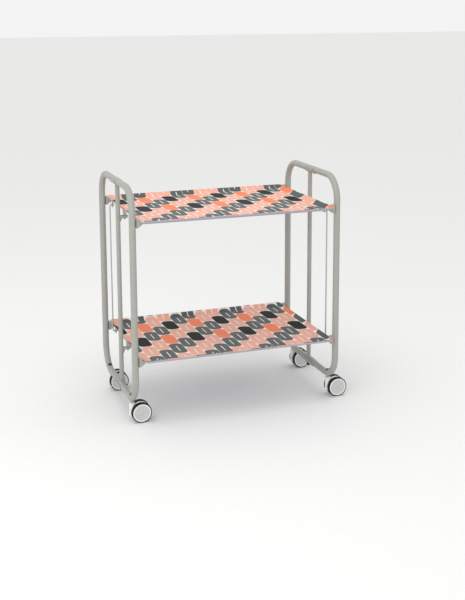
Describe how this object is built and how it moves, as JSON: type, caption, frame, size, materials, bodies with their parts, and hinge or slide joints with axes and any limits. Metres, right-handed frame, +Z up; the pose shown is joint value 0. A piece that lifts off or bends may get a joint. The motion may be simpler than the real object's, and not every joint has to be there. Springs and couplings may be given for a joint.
{
  "type": "serving trolley",
  "caption": "Two-tier serving trolley: round-cornered tube end frames, printed dished trays on tilting pivots, link rods and swivelling twin-wheel casters.",
  "frame": {"origin": "centre of the whole trolley's footprint box, at floor level", "axes": "+Z up; X runs along the trays, from the left to the right end frame; the user stands at -Y"},
  "size_m": [0.717, 0.454, 0.73],
  "materials": {
    "powder_coat": "satin warm grey powder coat",
    "printed_tray": "printed and lacquered steel sheet",
    "black_plastic": "moulded",
    "dark_steel": "blackened",
    "bright_steel": "zinc plated",
    "white_plastic": "gloss moulded",
    "grey_plastic": "satin moulded",
    "black_tread": "soft tread"
  },
  "bodies": {
    "frame": {"left_frame_tube": "powder_coat", "left_top_saddle": "powder_coat", "left_bottom_saddle": "powder_coat", "left_saddle_screws": "dark_steel", "left_post": "powder_coat", "left_post_bolt": "black_plastic", "left_tray_arms": "powder_coat", "left_caster_stems": "bright_steel", "left_stem_nuts": "black_plastic", "right_frame_tube": "powder_coat", "right_top_saddle": "powder_coat", "right_bottom_saddle": "powder_coat", "right_saddle_screws": "dark_steel", "right_post": "powder_coat", "right_post_bolt": "black_plastic", "right_tray_arms": "powder_coat", "right_caster_stems": "bright_steel", "right_stem_nuts": "black_plastic"},
    "upper_tray": {"upper_tray": "printed_tray", "upper_tray_brackets": "powder_coat", "upper_tray_claws": "powder_coat"},
    "lower_tray": {"lower_tray": "printed_tray", "lower_tray_brackets": "powder_coat", "lower_tray_claws": "powder_coat"},
    "left_link_rod": {"left_link_rod": "powder_coat", "left_rod_clips": "black_plastic"},
    "right_link_rod": {"right_link_rod": "powder_coat", "right_rod_clips": "black_plastic"},
    "front_left_caster": {"front_left_hood": "white_plastic", "front_left_axle": "bright_steel"},
    "front_left_near_wheel": {"front_left_near_tyre": "black_tread", "front_left_near_hub": "white_plastic", "front_left_near_disc": "grey_plastic"},
    "front_left_far_wheel": {"front_left_far_tyre": "black_tread", "front_left_far_hub": "white_plastic", "front_left_far_disc": "grey_plastic"},
    "back_left_caster": {"back_left_hood": "white_plastic", "back_left_axle": "bright_steel"},
    "back_left_near_wheel": {"back_left_near_tyre": "black_tread", "back_left_near_hub": "white_plastic", "back_left_near_disc": "grey_plastic"},
    "back_left_far_wheel": {"back_left_far_tyre": "black_tread", "back_left_far_hub": "white_plastic", "back_left_far_disc": "grey_plastic"},
    "front_right_caster": {"front_right_hood": "white_plastic", "front_right_axle": "bright_steel"},
    "front_right_near_wheel": {"front_right_near_tyre": "black_tread", "front_right_near_hub": "white_plastic", "front_right_near_disc": "grey_plastic"},
    "front_right_far_wheel": {"front_right_far_tyre": "black_tread", "front_right_far_hub": "white_plastic", "front_right_far_disc": "grey_plastic"},
    "back_right_caster": {"back_right_hood": "white_plastic", "back_right_axle": "bright_steel"},
    "back_right_near_wheel": {"back_right_near_tyre": "black_tread", "back_right_near_hub": "white_plastic", "back_right_near_disc": "grey_plastic"},
    "back_right_far_wheel": {"back_right_far_tyre": "black_tread", "back_right_far_hub": "white_plastic", "back_right_far_disc": "grey_plastic"}
  },
  "joints": [
    {"name": "upper_tray_tilt", "type": "hinge", "parent": "frame", "child": "upper_tray", "pos_m": [-0.0225, 0, 0.606], "axis": [1, 0, 0], "range_deg": [0, 35]},
    {"name": "lower_tray_tilt", "type": "hinge", "parent": "frame", "child": "lower_tray", "pos_m": [-0.0225, 0, 0.186], "axis": [1, 0, 0], "range_deg": [0, 35]},
    {"name": "left_link_rod_pivot", "type": "hinge", "parent": "upper_tray", "child": "left_link_rod", "pos_m": [-0.3301, 0.16, 0.614], "axis": [1, 0, 0], "range_deg": [-35, 0]},
    {"name": "right_link_rod_pivot", "type": "hinge", "parent": "upper_tray", "child": "right_link_rod", "pos_m": [0.2851, -0.16, 0.614], "axis": [1, 0, 0], "range_deg": [-35, 0]},
    {"name": "front_left_swivel", "type": "hinge", "parent": "frame", "child": "front_left_caster", "pos_m": [-0.3465, -0.146, 0.031], "axis": [0, 0, 1], "continuous": true},
    {"name": "front_left_near_wheel_spin", "type": "hinge", "parent": "front_left_caster", "child": "front_left_near_wheel", "pos_m": [-0.3205, -0.146, 0.031], "axis": [0, 1, 0], "continuous": true},
    {"name": "front_left_far_wheel_spin", "type": "hinge", "parent": "front_left_caster", "child": "front_left_far_wheel", "pos_m": [-0.3205, -0.146, 0.031], "axis": [0, 1, 0], "continuous": true},
    {"name": "back_left_swivel", "type": "hinge", "parent": "frame", "child": "back_left_caster", "pos_m": [-0.3465, 0.146, 0.031], "axis": [0, 0, 1], "continuous": true},
    {"name": "back_left_near_wheel_spin", "type": "hinge", "parent": "back_left_caster", "child": "back_left_near_wheel", "pos_m": [-0.3205, 0.146, 0.031], "axis": [0, 1, 0], "continuous": true},
    {"name": "back_left_far_wheel_spin", "type": "hinge", "parent": "back_left_caster", "child": "back_left_far_wheel", "pos_m": [-0.3205, 0.146, 0.031], "axis": [0, 1, 0], "continuous": true},
    {"name": "front_right_swivel", "type": "hinge", "parent": "frame", "child": "front_right_caster", "pos_m": [0.3015, -0.146, 0.031], "axis": [0, 0, 1], "continuous": true},
    {"name": "front_right_near_wheel_spin", "type": "hinge", "parent": "front_right_caster", "child": "front_right_near_wheel", "pos_m": [0.3275, -0.146, 0.031], "axis": [0, 1, 0], "continuous": true},
    {"name": "front_right_far_wheel_spin", "type": "hinge", "parent": "front_right_caster", "child": "front_right_far_wheel", "pos_m": [0.3275, -0.146, 0.031], "axis": [0, 1, 0], "continuous": true},
    {"name": "back_right_swivel", "type": "hinge", "parent": "frame", "child": "back_right_caster", "pos_m": [0.3015, 0.146, 0.031], "axis": [0, 0, 1], "continuous": true},
    {"name": "back_right_near_wheel_spin", "type": "hinge", "parent": "back_right_caster", "child": "back_right_near_wheel", "pos_m": [0.3275, 0.146, 0.031], "axis": [0, 1, 0], "continuous": true},
    {"name": "back_right_far_wheel_spin", "type": "hinge", "parent": "back_right_caster", "child": "back_right_far_wheel", "pos_m": [0.3275, 0.146, 0.031], "axis": [0, 1, 0], "continuous": true}
  ],
  "couplings": [
    {"joint": "lower_tray_tilt", "follows": "upper_tray_tilt", "ratio": 1},
    {"joint": "left_link_rod_pivot", "follows": "upper_tray_tilt", "ratio": -1},
    {"joint": "right_link_rod_pivot", "follows": "upper_tray_tilt", "ratio": -1}
  ]
}
